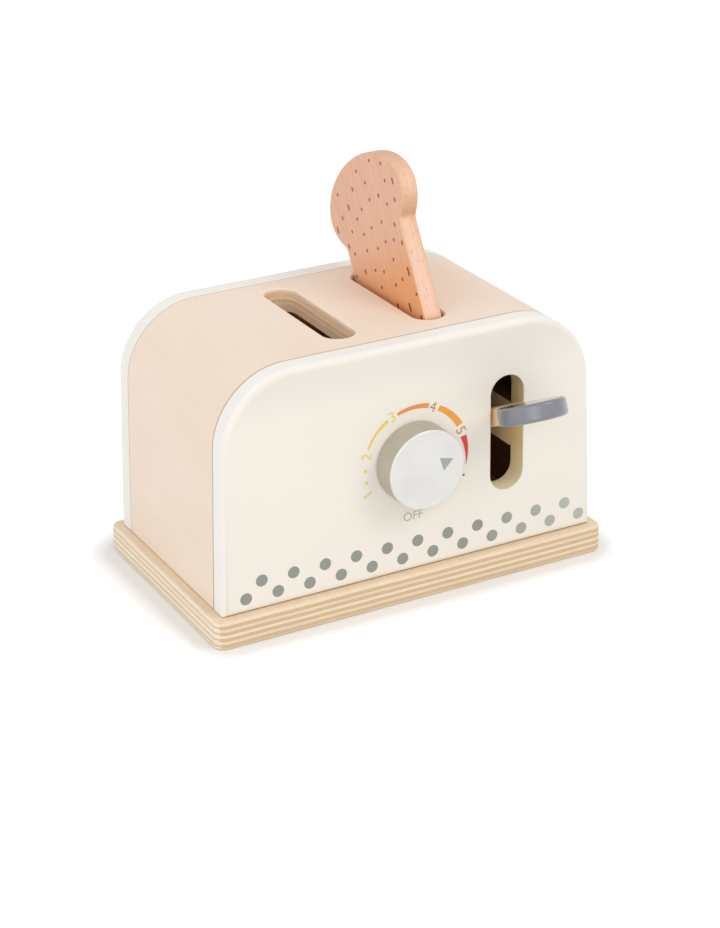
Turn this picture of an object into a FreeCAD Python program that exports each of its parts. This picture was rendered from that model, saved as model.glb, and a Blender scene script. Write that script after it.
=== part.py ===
import FreeCAD, Part
import math
import os
import Sketcher

# Toy toaster, millimetres. +X is to the right as seen from the front, the front faces -Y, +Z is up.
# The origin is the middle of the base board's underside.

Vector = FreeCAD.Vector
NORMAL = Vector(0, 0, 1)

SIZES = {
    # base board
    "base_width": 199.5,
    "base_depth": 119.2,
    "base_thick": 13.4,
    "base_corner": 5.0,
    "base_edge": 1.6,
    # end panels and the bent plywood hood between them
    "panel_width": 190.0,
    "panel_top": 123.3,
    "panel_corner": 35.0,
    "panel_thick": 10.6,
    "panel_edge": 3.2,
    "panel_inner_edge": 0.8,
    "panel_gap": 90.6,
    "side_lean": 2.1,
    "shell_inset": 0.8,
    "shell_thick": 8.5,
    # toast slots in the hood
    "toast_slot_length": 71.6,
    "toast_slot_width": 15.2,
    "toast_slot_offset": 23.0,
    "toast_slot_edge": 1.5,
    # lever slot in the front panel
    "lever_slot_middle": 48.6,
    "lever_slot_width": 17.2,
    "lever_slot_low": 42.2,
    "lever_slot_high": 98.2,
    # knob
    "knob_height": 68.0,
    "knob_round": 18.8,
    "knob_thick": 12.3,
    "knob_edge": 0.9,
    "knob_socket": 8.0,
    "knob_back_gap": 0.6,
    "washer_round": 11.0,
    "washer_play": 0.5,
    "washer_thick": 0.5,
    "axle_round": 4.0,
    "axle_fit": 0.06,
    "collar_round": 9.0,
    "collar_thick": 6.0,
    "collar_gap": 0.3,
    # lift: platform, board and guide rods
    "platform_left": -56.0,
    "platform_right": 67.0,
    "platform_front": -14.0,
    "platform_back": 34.0,
    "platform_top": 92.6,
    "platform_thick": 8.0,
    "platform_corner": 4.0,
    "rod_spacing": 45.0,
    "rod_back": 10.0,
    "rod_round": 4.0,
    "rod_fit": 0.06,
    "rod_socket": 8.0,
    "rod_top": 104.0,
    "rod_chamfer": 0.8,
    "stop_round": 8.0,
    "stop_thick": 6.0,
    "stop_gap": 0.1,
    "seat_round": 8.0,
    "seat_thick": 1.5,
    "seat_hole": 4.4,
    "spring_round": 6.0,
    "spring_wire": 0.8,
    "spring_turns": 5.0,
    "board_left": 57.6,
    "board_thick": 8.4,
    "board_front": -44.7,
    "board_back": 34.0,
    "board_low": 57.5,
    "board_high": 79.0,
    "board_corner": 1.0,
    # lever: arm and paddle
    "lever_tilt": 23.5,
    "paddle_reach": -76.7,
    "paddle_height": 88.3,
    "paddle_round": 15.5,
    "paddle_thick": 8.4,
    "paddle_edge": 1.6,
    "arm_width": 14.0,
    "arm_thick": 8.4,
    "arm_length": 48.0,
    "arm_edge": 0.8,
    "cheek_start": 38.5,
    "tenon_width": 7.0,
    "tenon_thick": 4.4,
    "tenon_length": 9.0,
    "tenon_root": 1.0,
    # dowels: two through the platform into the board, two through the board into the arm
    "dowel_round": 2.5,
    "dowel_length": 14.0,
    "board_dowel_front": -4.0,
    "board_dowel_back": 24.0,
    "lever_dowel_near": 43.0,
    "lever_dowel_far": 56.0,
    # slice of toast
    "slice_width": 59.0,
    "slice_thick": 8.6,
    "slice_low": 20.2,
    "slice_corner": 5.0,
    "slice_head": 43.5,
    "slice_head_half_width": 38.4,
    "slice_head_half_height": 22.1,
    "slice_notch": 4.0,
    "slice_edge": 1.3,
    "slice_lean": 30.0,
    "slice_across": 23.6,
    "slice_along": 0.4,
    # screws
    "screw_round": 1.6,
    "screw_length": 24.0,
    "screw_tip": 4.0,
    "screw_play": 0.25,
    "screw_head_round": 3.4,
    "screw_head_thick": 2.4,
    "screw_sink": 3.4,
    "screw_spread": 70.0,
    "pilot_play": 0.05,
    "pilot_spare": 1.0,
}


def size(name):
    return SIZES[name]


def make_sheet(doc):
    sheet = doc.addObject("Spreadsheet::Sheet", "Sizes")
    for row, (name, value) in enumerate(SIZES.items(), start=1):
        sheet.set("A%d" % row, name)
        sheet.set("B%d" % row, str(value))
        sheet.setAlias("B%d" % row, name)
    doc.recompute()


# ---- sketches -------------------------------------------------------------------------------


def new_body(doc, name):
    body = doc.addObject("PartDesign::Body", name)
    body.Label = name
    return body


def new_sketch(body, name, plane_role, lift=None):
    """A sketch on one of the body's own planes, moved along the plane's normal by lift."""
    sketch = body.newObject("Sketcher::SketchObject", name)
    plane = next(item for item in body.Origin.OriginFeatures if item.Role == plane_role)
    sketch.AttachmentSupport = [(plane, "")]
    sketch.MapMode = "FlatFace"
    if lift:
        sketch.setExpression("AttachmentOffset.Base.z", lift)
    return sketch


def bind(sketch, constraint, name, expression):
    """Add a driving constraint, name it and tie it to the sheet."""
    index = sketch.addConstraint(constraint)
    sketch.renameConstraint(index, name)
    sketch.setExpression("Constraints." + name, expression)


def add_circle(sketch, label, across, up, radius):
    circle = sketch.addGeometry(Part.Circle(Vector(1, 1, 0), NORMAL, 1))
    bind(sketch, Sketcher.Constraint("Radius", circle, 1), label + "_size", radius)
    bind(sketch, Sketcher.Constraint("DistanceX", -1, 1, circle, 3, 1), label + "_across", across)
    bind(sketch, Sketcher.Constraint("DistanceY", -1, 1, circle, 3, 1), label + "_up", up)


def add_polygon(sketch, label, points):
    """A closed outline whose corners are pairs of expressions, none of them repeated in a row."""
    count = len(points)
    turns = [i * 2 * math.pi / count for i in range(count)]
    start = [Vector(math.cos(turn), math.sin(turn), 0) for turn in turns]
    for i in range(count):
        sketch.addGeometry(Part.LineSegment(start[i], start[(i + 1) % count]))
    for i in range(count):
        sketch.addConstraint(Sketcher.Constraint("Coincident", i, 2, (i + 1) % count, 1))
    for i, (across, up) in enumerate(points):
        name = "%s_%d" % (label, i)
        bind(sketch, Sketcher.Constraint("DistanceX", -1, 1, i, 1, start[i].x), name + "_across", across)
        bind(sketch, Sketcher.Constraint("DistanceY", -1, 1, i, 1, start[i].y), name + "_up", up)


def add_rectangle(sketch, left, right, low, high):
    add_polygon(sketch, "corner", [(left, low), (right, low), (right, high), (left, high)])


def add_long_slot(sketch, label, middle, low, high, width):
    """An upright slot with round ends."""
    half = 5.0
    reach = 20.0
    arcs = []
    for along, start in ((reach, 0.0), (-reach, math.pi)):
        circle = Part.Circle(Vector(0, along, 0), NORMAL, half)
        arcs.append(sketch.addGeometry(Part.ArcOfCircle(circle, start, start + math.pi)))
    left = sketch.addGeometry(Part.LineSegment(Vector(-half, reach, 0), Vector(-half, -reach, 0)))
    right = sketch.addGeometry(Part.LineSegment(Vector(half, -reach, 0), Vector(half, reach, 0)))
    for first, second in ((arcs[0], left), (left, arcs[1]), (arcs[1], right), (right, arcs[0])):
        sketch.addConstraint(Sketcher.Constraint("Tangent", first, 2, second, 1))
    sketch.addConstraint(Sketcher.Constraint("Vertical", left))
    sketch.addConstraint(Sketcher.Constraint("Equal", *arcs))
    bind(sketch, Sketcher.Constraint("Radius", arcs[0], half), label + "_end", width + " / 2")
    bind(sketch, Sketcher.Constraint("DistanceX", -1, 1, arcs[0], 3, 0), label + "_middle", middle)
    top = Sketcher.Constraint("DistanceY", -1, 1, arcs[0], 3, reach)
    bind(sketch, top, label + "_high", "%s - %s / 2" % (high, width))
    bottom = Sketcher.Constraint("DistanceY", -1, 1, arcs[1], 3, -reach)
    bind(sketch, bottom, label + "_low", "%s + %s / 2" % (low, width))


def add_hood(sketch, width, foot, top, corner):
    """The toaster's end outline: leaning sides and a flat top, joined by round corners."""
    lean = math.radians(size("side_lean"))
    radius = size("panel_corner")
    centre_up = size("panel_top") - radius
    side_across = size("panel_width") / 2 - (centre_up - size("base_thick")) * math.tan(lean)
    centre_right = Vector(side_across - radius / math.cos(lean), centre_up, 0)
    centre_left = Vector(-centre_right.x, centre_up, 0)
    foot_right = Vector(size("panel_width") / 2, size("base_thick"), 0)
    foot_left = Vector(-foot_right.x, foot_right.y, 0)
    side_right = centre_right + Vector(radius * math.cos(lean), radius * math.sin(lean), 0)
    side_left = Vector(-side_right.x, side_right.y, 0)
    roof_right = centre_right + Vector(0, radius, 0)
    roof_left = centre_left + Vector(0, radius, 0)

    floor = sketch.addGeometry(Part.LineSegment(foot_left, foot_right))
    right = sketch.addGeometry(Part.LineSegment(foot_right, side_right))
    circle = Part.Circle(centre_right, NORMAL, radius)
    arc_right = sketch.addGeometry(Part.ArcOfCircle(circle, lean, math.pi / 2))
    roof = sketch.addGeometry(Part.LineSegment(roof_right, roof_left))
    circle = Part.Circle(centre_left, NORMAL, radius)
    arc_left = sketch.addGeometry(Part.ArcOfCircle(circle, math.pi / 2, math.pi - lean))
    left = sketch.addGeometry(Part.LineSegment(side_left, foot_left))

    for first, second in ((right, arc_right), (arc_right, roof), (roof, arc_left), (arc_left, left)):
        sketch.addConstraint(Sketcher.Constraint("Tangent", first, 2, second, 1))
    for first, second in ((floor, right), (left, floor)):
        sketch.addConstraint(Sketcher.Constraint("Coincident", first, 2, second, 1))
    sketch.addConstraint(Sketcher.Constraint("Symmetric", floor, 1, floor, 2, -2))
    sketch.addConstraint(Sketcher.Constraint("Symmetric", right, 2, left, 1, -2))
    sketch.addConstraint(Sketcher.Constraint("Equal", arc_right, arc_left))
    across = Sketcher.Constraint("DistanceX", floor, 1, floor, 2, 2 * foot_right.x)
    bind(sketch, across, "foot_width", width)
    bind(sketch, Sketcher.Constraint("DistanceY", -1, 1, floor, 1, foot_right.y), "foot_height", foot)
    bind(sketch, Sketcher.Constraint("DistanceY", -1, 1, roof, 1, roof_right.y), "roof_height", top)
    bind(sketch, Sketcher.Constraint("Radius", arc_right, radius), "corner_size", corner)
    slope = Sketcher.Constraint("Angle", right, math.pi / 2 + lean)
    bind(sketch, slope, "side_slope", "90 + Sizes.side_lean")


# ---- features -------------------------------------------------------------------------------


def add_pad(body, sketch, length, middle=False, turned=False):
    pad = body.newObject("PartDesign::Pad", sketch.Name + "_pad")
    pad.Profile = sketch
    pad.Midplane = middle
    pad.Reversed = turned
    pad.setExpression("Length", length)
    body.Document.recompute()
    return pad


def add_pocket(body, sketch, depth=None, middle=False, turned=False):
    """Cut the sketch out of the body, right through it where no depth is given."""
    before = body.Shape.Volume
    pocket = body.newObject("PartDesign::Pocket", sketch.Name + "_cut")
    pocket.Profile = sketch
    pocket.Midplane = middle
    pocket.Reversed = turned
    if depth:
        pocket.setExpression("Length", depth)
    else:
        pocket.Type = "ThroughAll"
    body.Document.recompute()
    if body.Shape.Volume >= before:
        raise RuntimeError(pocket.Name + " cuts nothing")
    return pocket


def edge_names(shape, wanted):
    """Names of the edges whose every sample point passes the test."""
    names = []
    for number, edge in enumerate(shape.Edges, start=1):
        points = edge.discretize(5)
        if all(wanted(point) for point in points):
            names.append("Edge%d" % number)
    return names


def add_fillet(body, wanted, radius):
    base = body.Tip
    names = edge_names(base.Shape, wanted)
    if not names:
        raise RuntimeError("no edge to round on " + body.Label)
    fillet = body.newObject("PartDesign::Fillet", "%s_round_%d" % (body.Name, len(body.Group)))
    fillet.Base = (base, names)
    fillet.setExpression("Radius", radius)
    body.Document.recompute()
    return fillet


def near(value, target):
    return abs(value - target) < 0.01


def put(item, across=None, along=None, up=None):
    """Tie the item's place to the sheet."""
    for axis, expression in (("x", across), ("y", along), ("z", up)):
        if expression:
            item.setExpression("Placement.Base." + axis, expression)
    return item


def tip_back(item, lean):
    """Turn the item about its own X axis, its top away from the front."""
    item.Placement.Rotation = FreeCAD.Rotation(Vector(-1, 0, 0), 1)
    item.setExpression("Placement.Rotation.Angle", lean)
    return item


def lay(item, axis):
    """Turn an upright cylinder to lie along an axis."""
    item.Placement.Rotation = FreeCAD.Rotation(NORMAL, axis)
    return item


def add_cylinder(doc, name, radius, height):
    cylinder = doc.addObject("Part::Cylinder", name)
    cylinder.Label = name
    cylinder.setExpression("Radius", radius)
    cylinder.setExpression("Height", height)
    return cylinder


def add_ring(doc, name, outer, inner, thick):
    disc = add_cylinder(doc, name + "_disc", outer, thick)
    hole = add_cylinder(doc, name + "_hole", inner, thick)
    ring = doc.addObject("Part::Cut", name)
    ring.Label = name
    ring.Base = disc
    ring.Tool = hole
    return ring


def add_group(doc, name, members):
    """Identical fasteners held as separate solids of one sub-part."""
    group = doc.addObject("Part::Compound", name)
    group.Label = name
    group.Links = members
    return group


# ---- housing --------------------------------------------------------------------------------

PANEL_MIDDLE = "(Sizes.panel_gap + Sizes.panel_thick) / 2"
SIDES = (-1, 1)


def make_base_board(doc):
    """The board below, with screw holes from underneath and sockets for the guide rods."""
    body = new_body(doc, "base_board")
    outline = new_sketch(body, "base_outline", "XY_Plane")
    half_width = "Sizes.base_width / 2"
    half_depth = "Sizes.base_depth / 2"
    add_rectangle(outline, "-" + half_width, half_width, "-" + half_depth, half_depth)
    add_pad(body, outline, "Sizes.base_thick")
    reach_x = size("base_width") / 2
    reach_y = size("base_depth") / 2
    add_fillet(body, lambda p: near(abs(p.x), reach_x) and near(abs(p.y), reach_y), "Sizes.base_corner")
    top = size("base_thick")
    add_fillet(body, lambda p: near(p.z, 0) or near(p.z, top), "Sizes.base_edge")

    for name, radius, depth in (
        ("screw_sink", "Sizes.screw_head_round + Sizes.screw_play", "Sizes.screw_sink"),
        ("screw_way", "Sizes.screw_round + Sizes.screw_play", None),
    ):
        sketch = new_sketch(body, name, "XY_Plane")
        for side in SIDES:
            for sign in SIDES:
                label = "screw_%d_%d" % (side + 1, sign + 1)
                across = "%d * Sizes.screw_spread" % sign
                add_circle(sketch, label, across, "%d * %s" % (side, PANEL_MIDDLE), radius)
        add_pocket(body, sketch, depth, turned=True)

    sockets = new_sketch(body, "rod_sockets", "XY_Plane", "Sizes.base_thick")
    for side in SIDES:
        across = "%d * Sizes.rod_spacing" % side
        add_circle(sockets, "rod_%d" % (side + 1), across, "Sizes.rod_back", "Sizes.rod_round")
    add_pocket(body, sockets, "Sizes.rod_socket")
    return body


def make_panel(doc, name, side):
    """An end panel; side is -1 for the front one and 1 for the back one."""
    body = new_body(doc, name)
    outline = new_sketch(body, name + "_outline", "XZ_Plane")
    add_hood(outline, "Sizes.panel_width", "Sizes.base_thick", "Sizes.panel_top", "Sizes.panel_corner")
    add_pad(body, outline, "Sizes.panel_thick", turned=side > 0)
    outer = side * size("panel_thick")
    add_fillet(body, lambda p: near(p.y, outer), "Sizes.panel_edge")
    add_fillet(body, lambda p: near(p.y, 0), "Sizes.panel_inner_edge")

    pilots = new_sketch(body, name + "_pilots", "XY_Plane", "Sizes.base_thick")
    radius = "Sizes.screw_round + Sizes.pilot_play"
    for sign in SIDES:
        across = "%d * Sizes.screw_spread" % sign
        middle = "%d * Sizes.panel_thick / 2" % side
        add_circle(pilots, "pilot_%d" % (sign + 1), across, middle, radius)
    depth = "Sizes.screw_length + Sizes.screw_sink - Sizes.base_thick + Sizes.pilot_spare"
    add_pocket(body, pilots, depth, turned=True)
    put(body, along="%d * Sizes.panel_gap / 2" % side)
    return body


def make_front_panel(doc):
    """The panel with the lever's slot and the bore for the knob's axle."""
    body = make_panel(doc, "front_panel", -1)
    lever_slot = new_sketch(body, "lever_slot", "XZ_Plane")
    add_long_slot(
        lever_slot,
        "lever_slot",
        "Sizes.lever_slot_middle",
        "Sizes.lever_slot_low",
        "Sizes.lever_slot_high",
        "Sizes.lever_slot_width",
    )
    add_pocket(body, lever_slot, turned=True)
    bore = new_sketch(body, "axle_bore", "XZ_Plane")
    add_circle(bore, "bore", "0", "Sizes.knob_height", "Sizes.axle_round + Sizes.axle_fit")
    add_pocket(body, bore, turned=True)
    return body


def make_shell(doc):
    """The bent plywood hood, open below, with the two toast slots in its flat top."""
    body = new_body(doc, "shell")
    outside = new_sketch(body, "shell_outside", "XZ_Plane")
    inset = "Sizes.shell_inset"
    add_hood(
        outside,
        "Sizes.panel_width - 2 * %s / cos(Sizes.side_lean)" % inset,
        "Sizes.base_thick",
        "Sizes.panel_top - " + inset,
        "Sizes.panel_corner - " + inset,
    )
    add_pad(body, outside, "Sizes.panel_gap", middle=True)
    inside = new_sketch(body, "shell_inside", "XZ_Plane")
    depth = "(Sizes.shell_inset + Sizes.shell_thick)"
    add_hood(
        inside,
        "Sizes.panel_width - 2 * %s / cos(Sizes.side_lean)" % depth,
        "Sizes.base_thick",
        "Sizes.panel_top - " + depth,
        "Sizes.panel_corner - " + depth,
    )
    add_pocket(body, inside, middle=True)
    slots = new_sketch(body, "toast_slots", "XY_Plane")
    for side in SIDES:
        add_long_slot(
            slots,
            "toast_slot_%d" % (side + 1),
            "%d * Sizes.toast_slot_offset" % side,
            "-Sizes.toast_slot_length / 2",
            "Sizes.toast_slot_length / 2",
            "Sizes.toast_slot_width",
        )
    add_pocket(body, slots, turned=True)
    roof = size("panel_top") - size("shell_inset")
    reach = size("toast_slot_length") / 2 + 0.1
    add_fillet(body, lambda p: near(p.z, roof) and abs(p.y) < reach, "Sizes.toast_slot_edge")
    return body


def make_base_screws(doc):
    """Four pan head wood screws, two up into each panel."""
    screws = []
    for side in SIDES:
        for sign in SIDES:
            name = "screw_%d_%d" % (side + 1, sign + 1)
            head = add_cylinder(doc, name + "_head", "Sizes.screw_head_round", "Sizes.screw_head_thick")
            put(head, up="Sizes.screw_sink - Sizes.screw_head_thick")
            shank_length = "Sizes.screw_length - Sizes.screw_tip"
            shank = add_cylinder(doc, name + "_shank", "Sizes.screw_round", shank_length)
            put(shank, up="Sizes.screw_sink")
            tip = doc.addObject("Part::Cone", name + "_tip")
            tip.setExpression("Radius1", "Sizes.screw_round")
            tip.setExpression("Radius2", "Sizes.screw_round / 8")
            tip.setExpression("Height", "Sizes.screw_tip")
            put(tip, up="Sizes.screw_sink + " + shank_length)
            screw = doc.addObject("Part::MultiFuse", name)
            screw.Shapes = [head, shank, tip]
            across = "%d * Sizes.screw_spread" % sign
            put(screw, across=across, along="%d * %s" % (side, PANEL_MIDDLE))
            screws.append(screw)
    return add_group(doc, "base_screws", screws)


# ---- knob -----------------------------------------------------------------------------------

PANEL_FACE = "(-Sizes.panel_gap / 2 - Sizes.panel_thick)"


def make_knob(doc):
    """The turned disc, with a blind bore behind for its axle."""
    body = new_body(doc, "control_knob")
    outline = new_sketch(body, "knob_outline", "XZ_Plane")
    add_circle(outline, "knob", "0", "0", "Sizes.knob_round")
    add_pad(body, outline, "Sizes.knob_thick")
    front = -size("knob_thick")
    add_fillet(body, lambda p: near(p.y, front), "Sizes.knob_edge")
    socket = new_sketch(body, "knob_bore", "XZ_Plane")
    add_circle(socket, "bore", "0", "0", "Sizes.axle_round")
    add_pocket(body, socket, "Sizes.knob_socket", turned=True)
    return put(body, along=PANEL_FACE + " - Sizes.knob_back_gap", up="Sizes.knob_height")


def make_knob_fittings(doc):
    """The axle through the panel, the ring that keeps it in and the felt behind the knob."""
    behind = "(-Sizes.panel_gap / 2 + Sizes.collar_gap)"
    outside = "Sizes.knob_socket + Sizes.knob_back_gap + Sizes.panel_thick"
    length = outside + " + Sizes.collar_gap + Sizes.collar_thick"
    axle = lay(add_cylinder(doc, "knob_axle", "Sizes.axle_round", length), Vector(0, -1, 0))
    put(axle, along=behind + " + Sizes.collar_thick", up="Sizes.knob_height")

    collar = add_ring(doc, "knob_collar", "Sizes.collar_round", "Sizes.axle_round", "Sizes.collar_thick")
    put(lay(collar, Vector(0, 1, 0)), along=behind, up="Sizes.knob_height")

    hole = "Sizes.axle_round + Sizes.washer_play"
    washer = add_ring(doc, "knob_washer", "Sizes.washer_round", hole, "Sizes.washer_thick")
    put(lay(washer, Vector(0, -1, 0)), along=PANEL_FACE, up="Sizes.knob_height")
    return [axle, collar, washer]


# ---- lift -----------------------------------------------------------------------------------

WIRE_SIDES = 8
BOARD_MIDDLE = "(Sizes.board_left + Sizes.board_thick / 2)"
BOARD_DOWELS = ("Sizes.board_dowel_front", "Sizes.board_dowel_back")
LEVER_DOWELS = ("Sizes.lever_dowel_near", "Sizes.lever_dowel_far")


def make_platform(doc):
    """The shelf that the slices stand on, with two bores that run on the guide rods."""
    body = new_body(doc, "lift_platform")
    outline = new_sketch(body, "platform_outline", "XY_Plane")
    add_rectangle(
        outline,
        "Sizes.platform_left",
        "Sizes.platform_right",
        "Sizes.platform_front",
        "Sizes.platform_back",
    )
    add_pad(body, outline, "Sizes.platform_thick")
    ends = (size("platform_left"), size("platform_right"))
    sides = (size("platform_front"), size("platform_back"))

    def at_corner(p):
        return any(near(p.x, x) for x in ends) and any(near(p.y, y) for y in sides)

    add_fillet(body, at_corner, "Sizes.platform_corner")
    bores = new_sketch(body, "platform_bores", "XY_Plane")
    for side in SIDES:
        across = "%d * Sizes.rod_spacing" % side
        radius = "Sizes.rod_round + Sizes.rod_fit"
        add_circle(bores, "rod_%d" % (side + 1), across, "Sizes.rod_back", radius)
    for number, along in enumerate(BOARD_DOWELS):
        add_circle(bores, "dowel_%d" % number, BOARD_MIDDLE, along, "Sizes.dowel_round")
    add_pocket(body, bores, turned=True)
    return put(body, up="Sizes.platform_top - Sizes.platform_thick")


def make_lift_board(doc):
    """The board beside the lever: low behind the slot, higher where it carries the platform."""
    body = new_body(doc, "lift_board")
    outline = new_sketch(body, "board_outline", "YZ_Plane")
    seat = "Sizes.platform_top - Sizes.platform_thick"
    add_polygon(
        outline,
        "corner",
        [
            ("Sizes.board_front", "Sizes.board_low"),
            ("Sizes.board_back", "Sizes.board_low"),
            ("Sizes.board_back", seat),
            ("Sizes.platform_front", seat),
            ("Sizes.platform_front", "Sizes.board_high"),
            ("Sizes.board_front", "Sizes.board_high"),
        ],
    )
    add_pad(body, outline, "Sizes.board_thick")
    front = size("board_front")
    back = size("board_back")
    low = size("board_low")
    step = size("platform_front")
    high = size("board_high")

    def to_round(p):
        corners = ((front, low), (front, high), (back, low), (step, high))
        return any(near(p.y, y) and near(p.z, z) for y, z in corners)

    add_fillet(body, to_round, "Sizes.board_corner")
    sockets = new_sketch(body, "board_dowel_sockets", "XY_Plane", seat)
    for number, along in enumerate(BOARD_DOWELS):
        label = "dowel_%d" % number
        add_circle(sockets, label, "Sizes.board_thick / 2", along, "Sizes.dowel_round")
    add_pocket(body, sockets, "Sizes.dowel_length - Sizes.platform_thick")
    lever_holes = new_sketch(body, "lever_holes", "YZ_Plane")
    for number, reach in enumerate(LEVER_DOWELS):
        label = "lever_%d" % number
        add_circle(lever_holes, label, lever_along(reach), lever_up(reach), "Sizes.dowel_round")
    add_pocket(body, lever_holes, turned=True)
    return put(body, across="Sizes.board_left")


def lever_along(distance):
    """Place along Y of a point on the tilted arm, a distance inward from the paddle's middle."""
    return "Sizes.paddle_reach + %s * cos(Sizes.lever_tilt)" % distance


def lever_up(distance):
    """Height of the same point."""
    return "Sizes.paddle_height - %s * sin(Sizes.lever_tilt)" % distance


def put_on_lever(item):
    """Seat an item drawn about the paddle's middle: the outer end of the lever points up."""
    tip_back(item, "Sizes.lever_tilt")
    return put(item, "Sizes.lever_slot_middle", "Sizes.paddle_reach", "Sizes.paddle_height")


def new_tenon_sketch(body, name):
    """The tenon's section, at its tip inside the paddle."""
    tip = "-(Sizes.paddle_round - Sizes.tenon_length)"
    sketch = new_sketch(body, name, "XZ_Plane", tip)
    half_width = "Sizes.tenon_width / 2"
    half_thick = "Sizes.tenon_thick / 2"
    add_rectangle(sketch, "-" + half_width, half_width, "-" + half_thick, half_thick)
    return sketch


def make_lever_arm(doc):
    """A flat beech bar, tenoned into the paddle, with a cheek inside that meets the lift board."""
    body = new_body(doc, "lever_arm")
    section = new_sketch(body, "arm_section", "XZ_Plane")
    half_width = "Sizes.arm_width / 2"
    half_thick = "Sizes.arm_thick / 2"
    add_rectangle(section, "-" + half_width, half_width, "-" + half_thick, half_thick)
    add_pad(body, section, "Sizes.arm_length + Sizes.paddle_round", turned=True)
    reach_x = size("arm_width") / 2
    reach_z = size("arm_thick") / 2
    add_fillet(body, lambda p: near(abs(p.x), reach_x) and near(abs(p.z), reach_z), "Sizes.arm_edge")
    scoop = new_sketch(body, "arm_scoop", "XY_Plane")
    add_circle(scoop, "scoop", "0", "0", "Sizes.paddle_round")
    add_pocket(body, scoop, middle=True)

    tenon = new_tenon_sketch(body, "arm_tenon")
    add_pad(body, tenon, "Sizes.tenon_length + Sizes.tenon_root", turned=True)

    cheek = new_sketch(body, "arm_cheek", "XZ_Plane", "-Sizes.cheek_start")
    cheek_face = "Sizes.board_left - Sizes.lever_slot_middle"
    flat_half = half_thick + " - Sizes.arm_edge"
    add_rectangle(cheek, half_width, cheek_face, "-(%s)" % flat_half, flat_half)
    add_pad(body, cheek, "Sizes.arm_length + Sizes.paddle_round - Sizes.cheek_start", turned=True)

    sockets = new_sketch(body, "arm_dowel_sockets", "YZ_Plane", cheek_face)
    for number, reach in enumerate(LEVER_DOWELS):
        add_circle(sockets, "dowel_%d" % number, reach, "0", "Sizes.dowel_round")
    add_pocket(body, sockets, "Sizes.dowel_length - Sizes.board_thick")
    return put_on_lever(body)


def make_lever_paddle(doc):
    """A thick disc with well rounded edges and a mortise for the arm's tenon."""
    body = new_body(doc, "lever_paddle")
    outline = new_sketch(body, "paddle_outline", "XY_Plane")
    add_circle(outline, "paddle", "0", "0", "Sizes.paddle_round")
    add_pad(body, outline, "Sizes.paddle_thick", middle=True)
    reach = size("paddle_thick") / 2
    add_fillet(body, lambda p: near(abs(p.z), reach), "Sizes.paddle_edge")
    add_pocket(body, new_tenon_sketch(body, "paddle_mortise"))
    return put_on_lever(body)


def make_dowels(doc):
    """Glued dowels: upright ones hold the platform on the board, level ones the board on the arm."""
    upright = []
    for number, along in enumerate(BOARD_DOWELS):
        name = "platform_dowel_%d" % number
        dowel = add_cylinder(doc, name, "Sizes.dowel_round", "Sizes.dowel_length")
        upright.append(put(dowel, BOARD_MIDDLE, along, "Sizes.platform_top - Sizes.dowel_length"))
    level = []
    across = "Sizes.board_left + Sizes.board_thick - Sizes.dowel_length"
    for number, reach in enumerate(LEVER_DOWELS):
        name = "lever_dowel_%d" % number
        dowel = add_cylinder(doc, name, "Sizes.dowel_round", "Sizes.dowel_length")
        lay(dowel, Vector(1, 0, 0))
        level.append(put(dowel, across, lever_along(reach), lever_up(reach)))
    return [add_group(doc, "platform_dowels", upright), add_group(doc, "lever_dowels", level)]


def make_guides(doc):
    """Per side: a guide rod and the ring that stops the lift at the top."""
    parts = []
    for name, side in (("left", -1), ("right", 1)):
        across = "%d * Sizes.rod_spacing" % side
        height = "Sizes.rod_top - Sizes.base_thick + Sizes.rod_socket"
        rod = add_cylinder(doc, "guide_rod_%s_blank" % name, "Sizes.rod_round", height)
        doc.recompute()
        chamfer = doc.addObject("Part::Chamfer", "guide_rod_" + name)
        chamfer.Label = "guide_rod_" + name
        chamfer.Base = rod
        tall = rod.Height.Value
        top_edge = edge_names(rod.Shape, lambda p: near(p.z, tall))[0]
        chamfer.Edges = [(int(top_edge[4:]), size("rod_chamfer"), size("rod_chamfer"))]
        parts.append(put(chamfer, across, "Sizes.rod_back", "Sizes.base_thick - Sizes.rod_socket"))

        label = "stop_collar_" + name
        stop = add_ring(doc, label, "Sizes.stop_round", "Sizes.rod_round", "Sizes.stop_thick")
        parts.append(put(stop, across, "Sizes.rod_back", "Sizes.platform_top + Sizes.stop_gap"))
    return parts


def make_spring(doc):
    """The compression spring on the right rod and the washer under it."""
    seat = add_ring(doc, "spring_seat", "Sizes.seat_round", "Sizes.seat_hole", "Sizes.seat_thick")
    put(seat, "Sizes.rod_spacing", "Sizes.rod_back", "Sizes.base_thick")

    coil = size("spring_round")
    wire = size("spring_wire")
    low = size("base_thick") + size("seat_thick") + wire
    height = size("platform_top") - size("platform_thick") - wire - low
    helix = Part.makeHelix(height / size("spring_turns"), height, coil)
    turns = [i * 2 * math.pi / WIRE_SIDES for i in range(WIRE_SIDES + 1)]
    section = [Vector(coil + wire * math.cos(turn), 0, wire * math.sin(turn)) for turn in turns]
    spring = doc.addObject("Part::Feature", "lift_spring")
    spring.Label = "lift_spring"
    spring.Shape = Part.Wire(helix).makePipeShell([Part.makePolygon(section)], True, True)
    return [seat, put(spring, "Sizes.rod_spacing", "Sizes.rod_back", str(low))]


# ---- slice of toast -------------------------------------------------------------------------


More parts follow.
